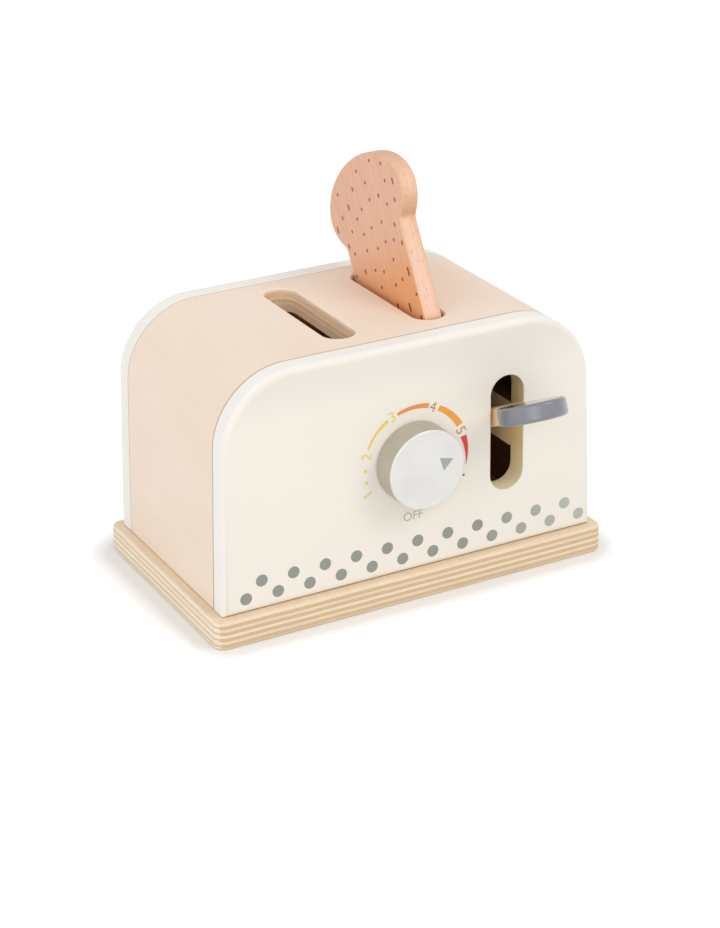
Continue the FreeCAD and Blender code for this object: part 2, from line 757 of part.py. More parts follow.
def make_slice(doc):
    """A slice with a straight body and a wide domed head, drawn upright and leaned back."""
    body = new_body(doc, "toast_slice")
    half = "Sizes.slice_width / 2"
    crumb = new_sketch(body, "slice_body", "YZ_Plane")
    add_rectangle(crumb, "-" + half, half, "-Sizes.slice_low", "Sizes.slice_head")
    add_pad(body, crumb, "Sizes.slice_thick", middle=True)

    head = new_sketch(body, "slice_head", "YZ_Plane")
    reach = size("slice_head_half_width")
    centre = Vector(0, size("slice_head"), 0)
    oval = head.addGeometry(Part.Ellipse(centre, reach, size("slice_head_half_height")))
    head.exposeInternalGeometry(oval)
    head.addConstraint(Sketcher.Constraint("Horizontal", oval + 1))
    wide = Sketcher.Constraint("Distance", oval + 1, 2 * reach)
    bind(head, wide, "head_width", "2 * Sizes.slice_head_half_width")
    tall = Sketcher.Constraint("Distance", oval + 2, 2 * size("slice_head_half_height"))
    bind(head, tall, "head_height", "2 * Sizes.slice_head_half_height")
    bind(head, Sketcher.Constraint("DistanceX", -1, 1, oval, 3, 0), "head_across", "0")
    bind(head, Sketcher.Constraint("DistanceY", -1, 1, oval, 3, 1), "head_up", "Sizes.slice_head")
    add_pad(body, head, "Sizes.slice_thick", middle=True)

    side = size("slice_width") / 2
    low = -size("slice_low")
    add_fillet(body, lambda p: near(abs(p.y), side) and near(p.z, low), "Sizes.slice_corner")
    drop = math.sqrt(1 - (side / reach) ** 2)
    notch = size("slice_head") - size("slice_head_half_height") * drop
    add_fillet(body, lambda p: near(abs(p.y), side) and near(p.z, notch), "Sizes.slice_notch")
    face = size("slice_thick") / 2
    add_fillet(body, lambda p: near(abs(p.x), face), "Sizes.slice_edge")
    tip_back(body, "Sizes.slice_lean")
    return put(body, "Sizes.slice_across", "Sizes.slice_along", "Sizes.panel_top")


# ---- the whole toaster ----------------------------------------------------------------------


def check(doc, parts):
    for item in doc.Objects:
        if "Invalid" in item.State or "Error" in item.State:
            raise RuntimeError("%s is %s" % (item.Name, item.State))
    for part in parts:
        if part.Shape.isNull() or not part.Shape.isValid():
            raise RuntimeError(part.Label + " has no valid shape")


def main():
    os.makedirs("parts", exist_ok=True)
    doc = FreeCAD.newDocument("toy_toaster")
    make_sheet(doc)
    parts = [
        make_base_board(doc),
        make_front_panel(doc),
        make_panel(doc, "back_panel", 1),
        make_shell(doc),
        make_base_screws(doc),
        make_knob(doc),
        make_platform(doc),
        make_lift_board(doc),
        make_lever_arm(doc),
        make_lever_paddle(doc),
        make_slice(doc),
    ]
    parts += make_knob_fittings(doc)
    parts += make_dowels(doc)
    parts += make_guides(doc)
    parts += make_spring(doc)
    doc.recompute()
    check(doc, parts)
    for part in parts:
        part.Shape.exportStep("parts/%s.step" % part.Label)


main()
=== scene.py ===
import math

import bmesh
import bpy
from mathutils import Matrix, Vector


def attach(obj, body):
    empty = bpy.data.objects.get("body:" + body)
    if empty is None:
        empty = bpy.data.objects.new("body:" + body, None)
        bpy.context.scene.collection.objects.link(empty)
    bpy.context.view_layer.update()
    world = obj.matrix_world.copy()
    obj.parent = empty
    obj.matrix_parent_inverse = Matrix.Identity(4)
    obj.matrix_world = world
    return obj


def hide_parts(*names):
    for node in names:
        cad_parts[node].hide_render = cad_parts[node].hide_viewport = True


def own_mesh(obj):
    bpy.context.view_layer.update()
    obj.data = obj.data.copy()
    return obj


# A wooden toy toaster, in metres: +X is to the right, the front faces -Y and +Z is up.

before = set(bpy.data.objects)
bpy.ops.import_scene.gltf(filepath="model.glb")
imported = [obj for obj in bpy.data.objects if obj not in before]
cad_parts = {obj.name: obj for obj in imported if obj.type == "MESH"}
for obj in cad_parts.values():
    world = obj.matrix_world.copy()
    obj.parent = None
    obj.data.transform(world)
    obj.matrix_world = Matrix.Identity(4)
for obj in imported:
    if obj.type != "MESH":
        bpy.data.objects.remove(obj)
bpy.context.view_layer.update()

NEAR = 0.00003
QUARTER = math.pi / 2


def mm(*values):
    """Millimetres in metres: a number for one value, a vector for three."""
    metres = [value / 1000 for value in values]
    return metres[0] if len(metres) == 1 else Vector(metres)


# ---- sizes ----------------------------------------------------------------------------------

SIDE_LEAN = math.radians(2.1)
BASE_TOP = mm(13.4)
BASE_HALF_WIDTH = mm(99.75)
BASE_HALF_DEPTH = mm(59.6)
BASE_CORNER = mm(5)
BASE_ROUND = mm(1.6)
# Screws in millimetres: places across and along, then each hole's radius and depth.
SCREW_PLACES = ((-70, -50.6), (-70, 50.6), (70, -50.6), (70, 50.6))
SCREW_HOLES = ((3.65, 3.4), (1.85, 20))
PANEL_HALF_WIDTH = mm(95)
PANEL_TOP = mm(123.3)
PANEL_CORNER = mm(35)
PANEL_INSIDE = mm(45.3)
PANEL_OUTSIDE = mm(55.9)
PANEL_RIM_ROUND = mm(3.2)
PANEL_BACK_ROUND = mm(0.8)
HOOD_INSET = mm(0.15)
HOOD_THICK = mm(11.5)
LEVER_SLOT_LEFT = mm(40)
LEVER_SLOT_RIGHT = mm(57.2)
LEVER_SLOT_LOW = mm(42.2)
LEVER_SLOT_HIGH = mm(98.2)
LEVER_SLOT_ROUND = mm(0.5)
AXLE_BORE_MIDDLE = mm(0, -50, 68)
AXLE_BORE_RADIUS = mm(4.06)
AXLE_BORE_LENGTH = mm(20)
TOAST_SLOT_MIDDLES = (mm(-21.4), mm(23.7))
TOAST_SLOT_HALF_WIDTH = mm(7.7)
TOAST_SLOT_FRONT = mm(-34.8)
TOAST_SLOT_BACK = mm(36.0)
TOAST_SLOT_ROUND = mm(0.9)
KNOB_MIDDLE = mm(0, -62.65, 68)
KNOB_RADIUS = mm(18.8)
KNOB_THICK = mm(12.3)
KNOB_FACE = mm(-68.8)
KNOB_FACE_ROUND = mm(0.9)
KNOB_BACK_ROUND = mm(0.4)
POINTER_REACH = mm(9.0)
POINTER_RISE = mm(1.8)
POINTER_RADIUS = mm(4.0)
POINTER_TURN = math.radians(-167)
PADDLE_MIDDLE = mm(48.6, -76.7, 88.3)
PADDLE_RADIUS = mm(15.5)
PADDLE_ROUND = mm(1.6)
LEVER_THICK = mm(8.4)
LEVER_TILT = math.radians(23.5)
SLICE_PLACE = mm(23.6, 0.4, 123.3)
SLICE_LEAN = math.radians(30)
SLICE_HALF_THICK = mm(4.3)
SLICE_HALF_WIDTH = mm(29.5)
SLICE_ROUND = mm(1.3)
SLICE_FOOT_CORNER = mm(5)
SLICE_NOTCH = mm(4)
SLICE_FOOT = mm(-20.2)
SLICE_HEAD = mm(43.5)
HEAD_REACH = mm(38.4)
HEAD_RISE = mm(22.1)
SPRING_PLACE = mm(45, 10, 14.9)
SPRING_TOP = mm(84.6)
SPRING_RADIUS = mm(6)
SPRING_WIRE_RADIUS = mm(0.8)
SPRING_TURNS = 5
PRINT_THICK = mm(0.06)


# ---- modelling ------------------------------------------------------------------------------


def only(piece):
    """Leave edit mode and select this piece alone."""
    if bpy.context.mode != "OBJECT":
        bpy.ops.object.mode_set(mode="OBJECT")
    bpy.ops.object.select_all(action="DESELECT")
    if piece:
        piece.select_set(True)
        bpy.context.view_layer.objects.active = piece


def settle(piece):
    """Put the object's place, turn and scale into its mesh."""
    only(piece)
    bpy.ops.object.transform_apply(location=True, rotation=True, scale=True)


def finish_new(name):
    """Name the object that was just added and settle it."""
    piece = bpy.context.active_object
    piece.name = name
    piece.data.name = name
    settle(piece)
    return piece


def add_block(name, low, high, turn=(0, 0, 0), middle=None):
    """A block between two corners, or turned about a middle with its corners given from there."""
    low = Vector(low)
    high = Vector(high)
    only(None)
    bpy.ops.mesh.primitive_cube_add(size=1, location=(low + high) / 2, scale=high - low)
    block = finish_new(name)
    if middle:
        block.rotation_euler = turn
        block.location = middle
        settle(block)
    return block


def add_disc(name, middle, radius, thick, turn=(0, 0, 0), sides=128):
    """A disc or rod that stands upright until it is turned."""
    only(None)
    bpy.ops.mesh.primitive_cylinder_add(
        vertices=sides, radius=radius, depth=thick, location=middle, rotation=turn
    )
    return finish_new(name)


def pick(piece, kind, wanted):
    """Open the piece for editing with only its wanted edges or faces selected."""
    only(piece)
    bpy.ops.object.mode_set(mode="EDIT")
    bpy.ops.mesh.select_mode(type=kind)
    bpy.ops.mesh.select_all(action="DESELECT")
    mesh = bmesh.from_edit_mesh(piece.data)
    for item in mesh.edges if kind == "EDGE" else mesh.faces:
        if wanted(item):
            item.select_set(True)
    bmesh.update_edit_mesh(piece.data)


def ends_pass(edge, test):
    """True when both ends of the edge pass the test."""
    return all(test(end.co) for end in edge.verts)


def bevel_picked(radius, steps):
    """Round the selected edges and leave edit mode."""
    bpy.ops.mesh.bevel(offset=radius, segments=steps, affect="EDGES", clamp_overlap=False)
    bpy.ops.object.mode_set(mode="OBJECT")


def round_edges(piece, radius, steps, test):
    """Round the edges whose two ends pass the test."""
    pick(piece, "EDGE", lambda edge: ends_pass(edge, test))
    bevel_picked(radius, steps)


def turn_outwards(piece):
    """Make every face of a closed piece point outwards."""
    pick(piece, "FACE", lambda face: True)
    bpy.ops.mesh.normals_make_consistent(inside=False)
    bpy.ops.object.mode_set(mode="OBJECT")


def combine(piece, tool, operation):
    """Cut the tool out of the piece or join it on; its faces keep the tool's finish."""
    only(piece)
    modifier = piece.modifiers.new("combine", "BOOLEAN")
    modifier.operation = operation
    modifier.object = tool
    modifier.solver = "EXACT"
    modifier.material_mode = "TRANSFER"
    bpy.ops.object.modifier_apply(modifier=modifier.name)
    bpy.data.objects.remove(tool)


def smooth(piece, degrees=35):
    """Soft shading over rounded edges, flat on the flat faces."""
    only(piece)
    bpy.ops.object.shade_smooth_by_angle(angle=math.radians(degrees))
    modifier = piece.modifiers.new("even_normals", "WEIGHTED_NORMAL")
    modifier.keep_sharp = True
    bpy.ops.object.modifier_apply(modifier=modifier.name)


def join(pieces, name):
    """Make one piece of several and name it."""
    only(pieces[0])
    for piece in pieces:
        piece.select_set(True)
    bpy.ops.object.join()
    pieces[0].name = name
    pieces[0].data.name = name
    return pieces[0]


def coat(piece, finish):
    """Give the whole piece one finish."""
    piece.data.materials.clear()
    piece.data.materials.append(finish)


def coat_faces(piece, finish, wanted):
    """Give a second finish to the wanted faces."""
    piece.data.materials.append(finish)
    number = len(piece.data.materials) - 1
    for face in piece.data.polygons:
        if wanted(face):
            face.material_index = number


def place_piece(piece, body, slot, *nodes):
    """Attach the piece to the body it moves with and hide the imported nodes it stands for. The
    slot is not used.
    """
    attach(piece, body)
    if nodes:
        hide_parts(*nodes)


# ---- finishes -------------------------------------------------------------------------------

# Painted shade: the tone of the dark line along the hood's seams with the panels.
JOINT_SHADE = (0.60, 0.43, 0.31, 1.0)
# Painted shade: the tone of the dark line at the foot, just above the base board.
FOOT_SHADE = (0.44, 0.27, 0.14, 1.0)


def colour(red, green, blue):
    """A colour as it looks on a screen, from 0 to 255, as linear values."""
    linear = []
    for value in (red, green, blue):
        part = value / 255
        linear.append(part / 12.92 if part <= 0.04045 else ((part + 0.055) / 1.055) ** 2.4)
    return (*linear, 1.0)


def darker(tone, share):
    """A tone that keeps this share of its light."""
    return tuple(share * part for part in tone[:3]) + (1.0,)


def new_finish(name, roughness, metallic=0.0, coat_weight=0.0):
    """A material with its shader and its Object coordinates."""
    finish = bpy.data.materials.new(name)
    finish.use_nodes = True
    shader = finish.node_tree.nodes["Principled BSDF"]
    shader.inputs["Roughness"].default_value = roughness
    shader.inputs["Metallic"].default_value = metallic
    shader.inputs["Coat Weight"].default_value = coat_weight
    place = finish.node_tree.nodes.new("ShaderNodeTexCoord").outputs["Object"]
    return finish, shader, place


def wire(source, target):
    """Link one socket to another."""
    source.id_data.links.new(source, target)


def feed(socket, value):
    """Set a socket to a value, or link it to another socket."""
    if isinstance(value, bpy.types.NodeSocket):
        wire(value, socket)
    else:
        socket.default_value = value


def mapped(place, scale, turn=(0, 0, 0), shift=(0, 0, 0), kind="POINT"):
    """Coordinates that are scaled, turned and shifted."""
    node = place.id_data.nodes.new("ShaderNodeMapping")
    node.vector_type = kind
    node.inputs["Location"].default_value = shift
    node.inputs["Rotation"].default_value = turn
    node.inputs["Scale"].default_value = scale
    wire(place, node.inputs["Vector"])
    return node.outputs["Vector"]


def noise(place, scale, detail=3.0):
    """Cloudy values round 0.5.

    The scale is in waves per metre: three numbers, or one for all three axes.
    """
    if isinstance(scale, (int, float)):
        scale = (scale, scale, scale)
    node = place.id_data.nodes.new("ShaderNodeTexNoise")
    node.inputs["Scale"].default_value = 1.0
    node.inputs["Detail"].default_value = detail
    node.inputs["Roughness"].default_value = 0.55
    wire(mapped(place, scale), node.inputs["Vector"])
    return node.outputs["Fac"]


def calc(operation, first, second=0.0):
    """A sum, product or other step of arithmetic between sockets or numbers."""
    source = first if isinstance(first, bpy.types.NodeSocket) else second
    node = source.id_data.nodes.new("ShaderNodeMath")
    node.operation = operation
    feed(node.inputs[0], first)
    feed(node.inputs[1], second)
    return node.outputs["Value"]


def stretch(value, low, high, new_low=0.0, new_high=1.0):
    """Spread a range of values over another range, held at its ends."""
    node = value.id_data.nodes.new("ShaderNodeMapRange")
    wire(value, node.inputs["Value"])
    node.inputs["From Min"].default_value = low
    node.inputs["From Max"].default_value = high
    node.inputs["To Min"].default_value = new_low
    node.inputs["To Max"].default_value = new_high
    return node.outputs["Result"]


def mix(amount, first, second, kind="MIX"):
    """Blend from the first colour to the second."""
    node = amount.id_data.nodes.new("ShaderNodeMix")
    node.data_type = "RGBA"
    node.blend_type = kind
    feed(node.inputs["Factor"], amount)
    feed(node.inputs["A"], first)
    feed(node.inputs["B"], second)
    return node.outputs["Result"]


def ramp(value, stops):
    """Colours that follow one another as the value rises from 0 to 1."""
    node = value.id_data.nodes.new("ShaderNodeValToRGB")
    wire(value, node.inputs["Fac"])
    elements = node.color_ramp.elements
    while len(elements) < len(stops):
        elements.new(1.0)
    for element, (position, shade) in zip(elements, stops):
        element.position = position
        element.color = shade
    return node.outputs["Color"]


def bump(shader, height, distance, strength):
    """Raise the surface by a height pattern; the distance is its depth in metres."""
    node = height.id_data.nodes.new("ShaderNodeBump")
    node.inputs["Strength"].default_value = strength
    node.inputs["Distance"].default_value = distance
    wire(height, node.inputs["Height"])
    wire(node.outputs["Normal"], shader.inputs["Normal"])


def split(vector):
    """The three numbers of a vector, by their letters."""
    node = vector.id_data.nodes.new("ShaderNodeSeparateXYZ")
    wire(vector, node.inputs["Vector"])
    return node.outputs


def facing(place, letter):
    """How squarely the surface faces along one axis, from 0 to 1."""
    return calc("ABSOLUTE", split(place.node.outputs["Normal"])[letter])


def grain_scale(letter, along, across):
    """Waves per metre of a grain that runs along one axis."""
    return [along if other == letter else across for other in "XYZ"]


def add_peel(shader, place, roughness):
    """The faint orange peel of sprayed paint."""
    peel = noise(place, 900, detail=2)
    wire(stretch(peel, 0.2, 0.8, roughness - 0.05, roughness + 0.08), shader.inputs["Roughness"])
    bump(shader, peel, mm(0.02), 0.35)


def glossy_paint(name, tone, shade, roughness):
    """Sprayed paint on wood under a clear coat: nearly even."""
    finish, shader, place = new_finish(name, roughness, coat_weight=1.0)
    shader.inputs["Coat Roughness"].default_value = 0.15
    clouds = noise(place, 18)
    wire(mix(stretch(clouds, 0.3, 0.7), tone, shade), shader.inputs["Base Color"])
    add_peel(shader, place, roughness)
    return finish


def board_paint(face, rim):
    """The panels' satin paint: darker near the top with painted shade, whiter on the rim with a
    painted highlight, and painted shade at the foot.
    """
    roughness = 0.45
    finish, shader, place = new_finish("cream_paint", roughness)
    clouds = noise(place, 18)
    tone = mix(stretch(clouds, 0.3, 0.7), face, darker(face, 0.985))
    # Painted shade: the face darkens towards the top.
    top_shaded = mix(stretch(split(place)["Z"], mm(100), mm(115)), tone, darker(face, 0.92))
    # Painted highlight: the rounded rim turns whiter.
    rim_lit = mix(stretch(facing(place, "Y"), 0.95, 0.3), top_shaded, rim)
    wire(foot_shade(place, rim_lit), shader.inputs["Base Color"])
    add_peel(shader, place, roughness)
    return finish


def foot_shade(place, base):
    """Painted shade on the last half millimetre above the base board."""
    # Painted shade where the panels and hood meet the base board.
    return mix(stretch(split(place)["Z"], BASE_TOP + mm(0.5), BASE_TOP + mm(0.25)), base, FOOT_SHADE)


def slot_wall():
    """Bare board in the lever's slot, greyer at the top with painted shade and paler at the bottom
    with painted light.
    """
    finish, shader, place = new_finish("slot_wall", 0.6)
    fibres = noise(place, 1200, detail=3)
    height = split(place)["Z"]
    bare = mix(stretch(fibres, 0.3, 0.7), colour(243, 223, 174), colour(234, 210, 158))
    # Painted shade: greyer towards the top of the slot.
    top_shaded = mix(stretch(height, mm(80), mm(100)), bare, colour(208, 192, 170))
    # Painted light: paler towards the bottom of the slot.
    bottom_lit = mix(stretch(height, mm(62), mm(43)), top_shaded, colour(250, 236, 204))
    wire(bottom_lit, shader.inputs["Base Color"])
    bump(shader, fibres, mm(0.05), 0.4)
    return finish


def hood_veneer():
    """Pale birch veneer, its grain running front to back, with painted shade along its seam with
    each panel and at its foot.
    """
    finish, shader, place = new_finish("hood_veneer", 0.55)
    streaks = noise(place, (700, 22, 700), detail=5)
    clouds = noise(place, (22, 9, 22))
    base = mix(stretch(clouds, 0.3, 0.7), colour(248, 231, 215), colour(244, 223, 203))
    grained = mix(stretch(streaks, 0.45, 0.8, 0, 0.16), base, colour(230, 200, 175))
    # Painted shade: a dark line in the last half millimetre of veneer before each panel.
    seam_shade_mask = stretch(
        calc("ABSOLUTE", split(place)["Y"]), PANEL_INSIDE - mm(0.6), PANEL_INSIDE - mm(0.3)
    )
    seam_shaded = mix(seam_shade_mask, grained, JOINT_SHADE)
    wire(foot_shade(place, seam_shaded), shader.inputs["Base Color"])
    bump(shader, streaks, mm(0.03), 0.3)
    return finish


def plywood(
    name, low, thick, plies, light, dark, share=0.5, side_share=0.5, lift=(1, 1, 1, 1)
):
    """Solid level plywood: an odd number of plies from low upwards, light ones outermost.

    share is the light plies' part of the thickness. On the left and right sides it is
    side_share, and the colour is multiplied by lift, painted light that lightens those sides.
    """
    finish, shader, place = new_finish(name, 0.6)
    wobble = stretch(noise(place, 45), 0.3, 0.7, -0.08, 0.08)
    depth = calc("MULTIPLY", calc("SUBTRACT", split(place)["Z"], low), plies / thick)
    inner = calc("MAXIMUM", calc("MINIMUM", depth, plies - 0.5), 0.5)
    ply = calc("ADD", inner, wobble)

    sideways = facing(place, "X")
    phase = calc("PINGPONG", calc("SUBTRACT", ply, 0.5), 1.0)
    step = calc("SUBTRACT", phase, stretch(sideways, 0.55, 0.8, share, side_share))
    bands = mix(stretch(step, -0.05, 0.08), light, dark)
    from_glue = calc("ABSOLUTE", calc("SUBTRACT", step, 0.01))
    glue = darker(dark, 0.66)
    glued = mix(stretch(from_glue, 0.1, 0.02, 0, 0.55), bands, glue)

    layer = place.id_data.nodes.new("ShaderNodeTexWhiteNoise")
    layer.noise_dimensions = "1D"
    wire(calc("FLOOR", ply), layer.inputs["W"])
    varied = mix(stretch(layer.outputs["Value"], 0, 1, 0, 0.25), glued, dark)
    grains = [noise(place, grain_scale(letter, 35.0, 1000.0), detail=4) for letter in "XY"]
    grain = calc("ADD", calc("MULTIPLY", grains[0], 0.5), calc("MULTIPLY", grains[1], 0.5))
    grained = mix(stretch(grain, 0.45, 0.7, 0, 0.3), varied, glue)
    # Painted light: the left and right sides are multiplied by lift to look lighter.
    side_lit = mix(stretch(sideways, 0.55, 0.8), grained, lift, "MULTIPLY")
    wire(side_lit, shader.inputs["Base Color"])
    bump(shader, grain, mm(0.05), 0.4)
    return finish


def beech(name, axis, light, dark):
    """Bare beech with fine streaks and short ray flecks along one axis."""
    finish, shader, place = new_finish(name, 0.5)
    streaks = noise(place, grain_scale(axis, 25.0, 700.0), detail=4)
    flecks = noise(place, grain_scale(axis, 260.0, 1100.0), detail=1)
    base = mix(stretch(streaks, 0.35, 0.7), light, dark)
    flecked = mix(stretch(flecks, 0.66, 0.76, 0, 0.5), base, darker(dark, 0.7))
    wire(flecked, shader.inputs["Base Color"])
    bump(shader, streaks, mm(0.04), 0.35)
    return finish


def slot_plies():
    """The hood's plies where the toast slots cut through them, with pale glue lines between."""
    finish, shader, place = new_finish("slot_plies", 0.6)
    inner = colour(255, 232, 208)
    lower = colour(246, 218, 190)
    middle = colour(236, 202, 166)
    line = colour(255, 238, 208)
    upper = colour(242, 210, 178)
    outer = colour(255, 236, 216)
    stops = (
        (0.0, inner), (0.20, lower), (0.33, lower), (0.36, line), (0.38, line),
        (0.41, middle), (0.50, middle), (0.57, line), (0.60, line),
        (0.64, upper), (0.78, upper), (0.92, outer), (1.0, outer),
    )
    lowest = mm(111.6)
    highest = mm(123.2)
    bands = ramp(stretch(split(place)["Z"], lowest, highest), stops)
    fibres = noise(place, (1200, 60, 1200), detail=4)
    fibrous = mix(stretch(fibres, 0.45, 0.75, 0, 0.45), bands, colour(214, 178, 142))
    wire(fibrous, shader.inputs["Base Color"])
    bump(shader, fibres, mm(0.05), 0.4)
    return finish


def edged_birch(name, face, edge_grain_and_shade):
    """The lift board's birch: its cut edges are darker than its faces, partly as end grain and
    mostly as painted shade.
    """
    finish, shader, place = new_finish(name, 0.6)
    streaks = noise(place, (900, 30, 900), detail=4)
    grained = mix(stretch(streaks, 0.4, 0.75, 0, 0.6), face, darker(face, 0.9))
    wire(mix(stretch(facing(place, "X"), 0.9, 0.4), grained, edge_grain_and_shade), shader.inputs["Base Color"])
    bump(shader, streaks, mm(0.04), 0.3)
    return finish


def slice_place(place):
    """Coordinates of the slice itself, before it leans back in its slot."""
    return mapped(place, (1, 1, 1), (-SLICE_LEAN, 0, 0), SLICE_PLACE, "TEXTURE")


def toast_wood(name, high, low, streak, stripes):
    """Beech with upright stripes and ray flecks: warmer lower down, a little darker on the crown
    where the grain ends, and darker on faces that look down, partly end grain and mostly painted
    shade.
    """
    finish, shader, place = new_finish(name, 0.5)
    own = slice_place(place)
    height = stretch(split(own)["Z"], mm(2), mm(26))
    streaks = noise(own, (1100, 1100, 28), detail=4)
    wide = noise(own, (260, 260, 10), detail=2)
    rays = noise(own, (1500, 1500, 330), detail=1)
    base = mix(height, low, high)
    banded = mix(stretch(wide, 0.45, 0.75, 0, 0.25), base, streak)
    grained = mix(stretch(streaks, 0.45, 0.7, 0, stripes), banded, streak)
    rayed = mix(stretch(rays, 0.62, 0.74, 0, 0.9 - stripes), grained, streak)
    normal = split(place.node.outputs["Normal"])
    back = calc("MULTIPLY", normal["Y"], math.sin(SLICE_LEAN))
    upright = calc("ADD", back, calc("MULTIPLY", normal["Z"], math.cos(SLICE_LEAN)))
    # Painted shade, with some end grain: faces that look down turn darker.
    below = stretch(upright, -0.25, -0.9, 0, 0.75)
    crown = stretch(upright, 0.6, 1.0, 0, 0.35)
    end_grain_and_shade = mix(calc("MAXIMUM", below, crown), rayed, streak)
    wire(end_grain_and_shade, shader.inputs["Base Color"])
    bump(shader, streaks, mm(0.04), 0.3)
    return finish


def fleck_ink():
    """Brown print, darker towards the foot of the slice."""
    finish, shader, place = new_finish("fleck_print", 0.5)
    own = slice_place(place)
    height = stretch(split(own)["Z"], mm(-5), mm(30))
    tone = mix(height, colour(126, 50, 14), colour(160, 86, 56))
    spots = noise(own, (1400, 1400, 700), detail=3)
    spotted = mix(stretch(spots, 0.55, 0.75, 0, 0.35), tone, colour(190, 120, 84))
    wire(spotted, shader.inputs["Base Color"])
    return finish


def silver_paint(name, tone, shade, flake):
    """Silver paint with fine metal flakes."""
    finish, shader, place = new_finish(name, 0.42, metallic=0.35)
    flakes = noise(place, 2600, detail=1)
    clouds = noise(place, 60)
    base = mix(stretch(clouds, 0.3, 0.7), tone, shade)
    wire(mix(stretch(flakes, 0.58, 0.75, 0, 0.5), base, flake), shader.inputs["Base Color"])
    wire(stretch(flakes, 0.3, 0.7, 0.36, 0.5), shader.inputs["Roughness"])
    bump(shader, flakes, mm(0.02), 0.3)
    return finish


def steel():
    """Bright steel with fine level scratches."""
    finish, shader, place = new_finish("steel", 0.3, metallic=1.0)
    scratches = noise(place, (300, 300, 2500), detail=3)
    wire(mix(scratches, colour(176, 178, 182), colour(206, 208, 212)), shader.inputs["Base Color"])
    wire(stretch(scratches, 0.3, 0.7, 0.24, 0.4), shader.inputs["Roughness"])
    return finish


def felt():
    """Dark grey felt."""
    finish, shader, place = new_finish("felt", 0.95)
    fibres = noise(place, 2200, detail=4)
    wire(mix(fibres, colour(60, 60, 62), colour(110, 110, 114)), shader.inputs["Base Color"])
    bump(shader, fibres, mm(0.1), 0.8)
    return finish


def ink(name, tone, thin):
    """Screen print: nearly even, with a few thin spots."""
    finish, shader, place = new_finish(name, 0.5)
    spots = noise(place, 1400, detail=3)
    wire(mix(stretch(spots, 0.6, 0.75, 0, 0.5), tone, thin), shader.inputs["Base Color"])
    return finish


def dot_print():
    """Grey screen print, a little paler towards the right end of the rows."""
    finish, shader, place = new_finish("grey_print", 0.5)
    spots = noise(place, 1400, detail=3)
    across = split(place)["X"]
    tone = mix(stretch(across, mm(35), mm(84)), colour(144, 146, 139), colour(180, 183, 174))
    spotted = mix(stretch(spots, 0.6, 0.75, 0, 0.4), tone, colour(170, 172, 164))
    wire(spotted, shader.inputs["Base Color"])
    return finish


# ---- housing --------------------------------------------------------------------------------


def add_hood_block(name, front, back, inset):
    """A block with the toaster's end outline: sides that lean in and round top corners."""
    half_width = PANEL_HALF_WIDTH - inset / math.cos(SIDE_LEAN)
    top = PANEL_TOP - inset
    block = add_block(name, (-half_width, front, BASE_TOP), (half_width, back, top))
    pick(block, "FACE", lambda face: face.normal.z > 0.9)
    lean_in = 1 - (top - BASE_TOP) * math.tan(SIDE_LEAN) / half_width
    bpy.ops.transform.resize(value=(lean_in, 1, 1))
    bpy.ops.object.mode_set(mode="OBJECT")

    pick(block, "EDGE", lambda edge: is_top_corner(edge, top))
    corner = (PANEL_CORNER - inset) / math.tan(math.pi / 4 + SIDE_LEAN / 2)
    bevel_picked(corner, 32)
    return block


def is_top_corner(edge, top):
    """True for an edge that runs front to back at the top of a side."""
    first, second = (end.co for end in edge.verts)
    level = abs(first.z - top) < NEAR and abs(second.z - top) < NEAR
    return level and abs(first.x - second.x) < NEAR


def add_long_cutter(name, low, high, axis):
    """A block with fully round ends, to cut a slot: it points along the given axis."""
    cutter = add_block(name, low, high)
    others = [number for number in range(3) if number != axis]
    spans = [high[number] - low[number] for number in others]
    radius = min(spans) / 2 - NEAR / 10

    def runs_along(edge):
        first, second = (end.co for end in edge.verts)
        return all(abs(first[number] - second[number]) < NEAR for number in others)

    pick(cutter, "EDGE", runs_along)
    bpy.ops.mesh.bevel(offset=radius, segments=16, affect="EDGES", clamp_overlap=False)
    bpy.ops.mesh.select_all(action="SELECT")
    bpy.ops.mesh.remove_doubles(threshold=NEAR / 2)
    bpy.ops.object.mode_set(mode="OBJECT")
    return cutter


def model_panel(name, side):
    """An end panel, its outer rim rounded more than its inner one."""
    inner = side * PANEL_INSIDE
    outer = side * PANEL_OUTSIDE
    panel = add_hood_block(name, min(inner, outer), max(inner, outer), 0.0)
    round_edges(panel, PANEL_RIM_ROUND, 7, lambda p: abs(p.y - outer) < NEAR)
    round_edges(panel, PANEL_BACK_ROUND, 3, lambda p: abs(p.y - inner) < NEAR)
    return panel


def in_lever_slot(p):
    """True for a point within the lever slot's outline."""
    across = LEVER_SLOT_LEFT - NEAR < p.x < LEVER_SLOT_RIGHT + NEAR
    return across and LEVER_SLOT_LOW - NEAR < p.z < LEVER_SLOT_HIGH + NEAR


def model_front_panel(paint, bare, inside):
    """The front panel with the lever's slot and the bore for the knob's axle."""
    panel = model_panel("front_panel_board", -1)
    coat(panel, paint)
    cut_front = mm(-60)
    cut_back = mm(-40)
    low = Vector((LEVER_SLOT_LEFT, cut_front, LEVER_SLOT_LOW))
    high = Vector((LEVER_SLOT_RIGHT, cut_back, LEVER_SLOT_HIGH))
    cutter = add_long_cutter("slot_cutter", low, high, 1)
    coat(cutter, bare)
    combine(panel, cutter, "DIFFERENCE")
    bore = add_disc(
        "bore_cutter", AXLE_BORE_MIDDLE, AXLE_BORE_RADIUS, AXLE_BORE_LENGTH, (QUARTER, 0, 0), 48
    )
    coat(bore, bare)
    combine(panel, bore, "DIFFERENCE")

    def on_slot_edge(p):
        return abs(p.y + PANEL_OUTSIDE) < NEAR and in_lever_slot(p)

    round_edges(panel, LEVER_SLOT_ROUND, 3, on_slot_edge)
    coat_faces(panel, inside, lambda face: face.normal.y > 0.99)
    smooth(panel)
    place_piece(panel, "housing", "cream_paint", "front_panel")


